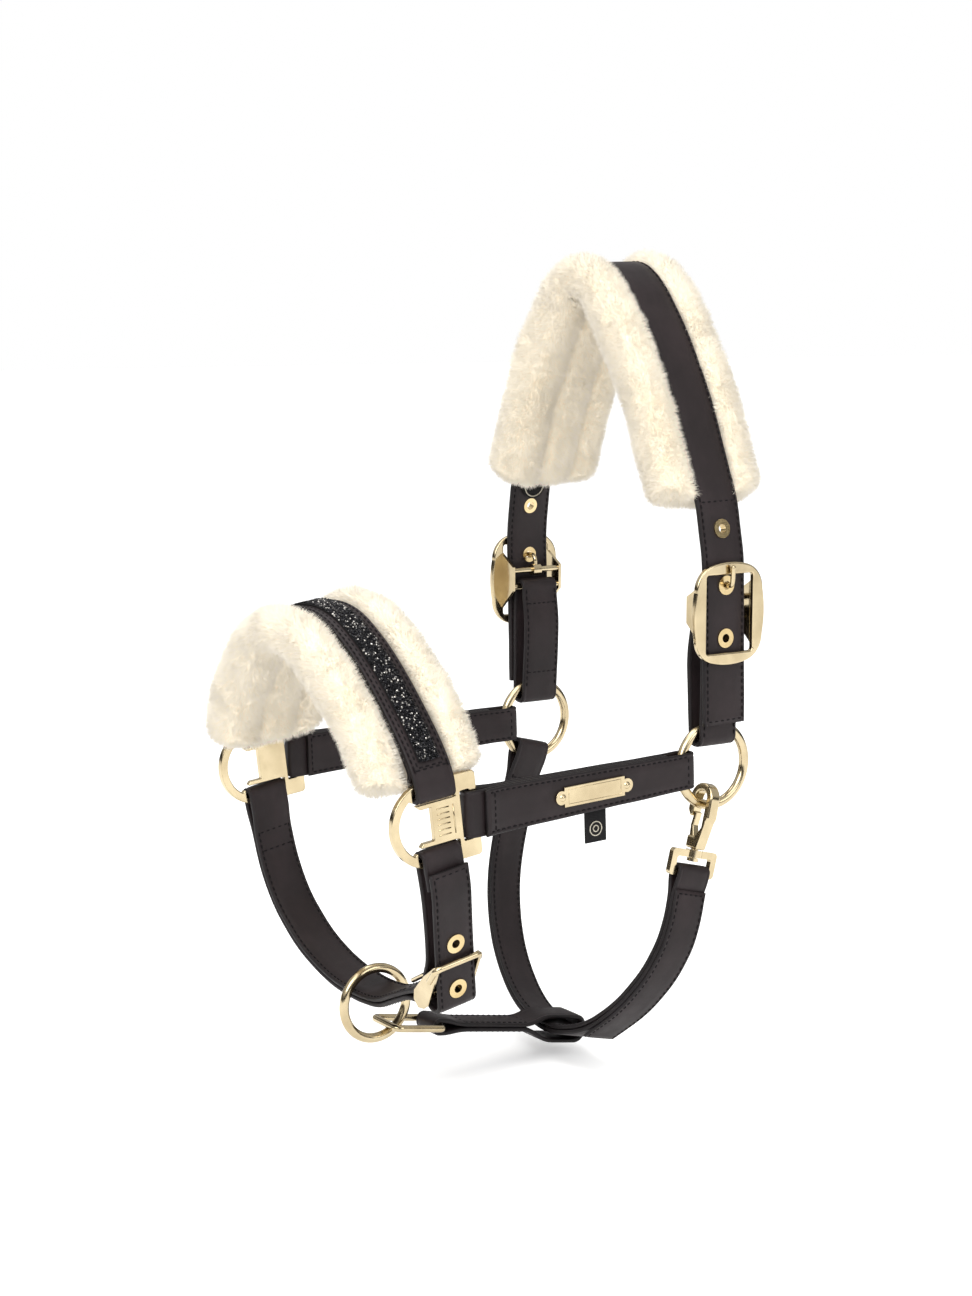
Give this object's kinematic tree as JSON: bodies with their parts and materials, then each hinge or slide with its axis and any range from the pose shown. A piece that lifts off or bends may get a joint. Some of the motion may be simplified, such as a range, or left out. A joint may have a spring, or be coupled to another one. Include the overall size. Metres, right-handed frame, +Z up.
{
  "type": "leather headcollar",
  "caption": "Padded leather headcollar with fur-lined crown and noseband, cast buckles, rings, nose plates and a throat snap hook.",
  "frame": {"origin": "poll seat: the middle of the underside of the crown pad", "axes": "+Z up, nose towards -Y, the horse's left (near) side is +X"},
  "size_m": [0.1836, 0.2346, 0.4008],
  "materials": {
    "strap_leather": "smooth, semi-matt, dark brown-grey",
    "strap_lining": "smooth backing leather",
    "fur_plush": "dense cream plush pile",
    "gold_hardware": "polished pale gold plating",
    "brass_eyelet": "polished brass",
    "crystal_stones": "faceted black stones on a band",
    "label_weave": "fine black weave",
    "thread": "tonal waxed thread"
  },
  "bodies": {
    "harness": {"chin_billet": "strap_leather", "chin_buckle": "gold_hardware", "chin_eyelets": "brass_eyelet", "chin_strap": "strap_leather", "crown_backing": "strap_lining", "crown_fur_pad": "fur_plush", "crown_label": "label_weave", "crown_strap": "strap_leather", "crystal_band": "crystal_stones", "far_cheek_strap": "strap_leather", "far_crown_buckle": "gold_hardware", "far_crown_eyelets": "brass_eyelet", "far_nose_plate": "gold_hardware", "far_side_sleeve": "strap_leather", "far_side_strap": "strap_leather", "jaw_strap": "strap_leather", "nameplate": "gold_hardware", "nameplate_rivets": "gold_hardware", "near_cheek_strap": "strap_leather", "near_crown_buckle": "gold_hardware", "near_crown_eyelets": "brass_eyelet", "near_nose_plate": "gold_hardware", "near_side_sleeve": "strap_leather", "near_side_strap": "strap_leather", "nose_fur_pad": "fur_plush", "noseband_strap": "strap_leather", "snap_eye": "gold_hardware", "throat_strap": "strap_leather", "woven_tag": "label_weave"},
    "near_crown_tongue": {"near_crown_tongue": "gold_hardware"},
    "far_crown_tongue": {"far_crown_tongue": "gold_hardware"},
    "chin_tongue": {"chin_tongue": "gold_hardware"},
    "near_cheek_ring": {"near_cheek_ring": "gold_hardware"},
    "far_cheek_ring": {"far_cheek_ring": "gold_hardware"},
    "chin_ring": {"chin_ring": "gold_hardware"},
    "jaw_link": {"jaw_link": "gold_hardware"},
    "snap_hook": {"snap_hook": "gold_hardware", "snap_gate_pin": "gold_hardware"},
    "snap_gate": {"snap_gate": "gold_hardware"}
  },
  "joints": [
    {"name": "near_cheek_ring_spin", "type": "hinge", "parent": "harness", "child": "near_cheek_ring", "pos_m": [0.0765, 0.0035, -0.2243], "axis": [1, 0, 0], "continuous": true},
    {"name": "far_cheek_ring_spin", "type": "hinge", "parent": "harness", "child": "far_cheek_ring", "pos_m": [-0.0765, 0.0035, -0.2243], "axis": [1, 0, 0], "continuous": true},
    {"name": "chin_ring_spin", "type": "hinge", "parent": "harness", "child": "chin_ring", "pos_m": [-0.005, -0.14101, -0.34167], "axis": [1, 0, 0], "continuous": true},
    {"name": "jaw_link_tilt", "type": "hinge", "parent": "harness", "child": "jaw_link", "pos_m": [-0.005, -0.10781, -0.35783], "axis": [-1, 0, 0], "range_deg": [-1, 15]},
    {"name": "near_crown_tongue_lift", "type": "hinge", "parent": "harness", "child": "near_crown_tongue", "pos_m": [0.0765, 0.0035, -0.1425], "axis": [0, 1, 0], "range_deg": [0, 3]},
    {"name": "far_crown_tongue_lift", "type": "hinge", "parent": "harness", "child": "far_crown_tongue", "pos_m": [-0.0765, 0.0035, -0.1425], "axis": [0, -1, 0], "range_deg": [0, 3]},
    {"name": "chin_tongue_lift", "type": "hinge", "parent": "harness", "child": "chin_tongue", "pos_m": [0.0716, -0.14639, -0.31399], "axis": [0, 0.9816, 0.1908], "range_deg": [0, 4]},
    {"name": "snap_swivel", "type": "hinge", "parent": "harness", "child": "snap_hook", "pos_m": [0.0765, 0.0035, -0.2243], "axis": [0, -0.2419, -0.9703], "range_deg": [-15, 15]},
    {"name": "snap_gate_press", "type": "hinge", "parent": "snap_hook", "child": "snap_gate", "pos_m": [0.0743, -0.00584, -0.26175], "axis": [0, 0.9703, -0.2419], "range_deg": [0, 18], "stiffness_Nm_per_rad": 0.05, "springref_deg": -8.59}
  ]
}
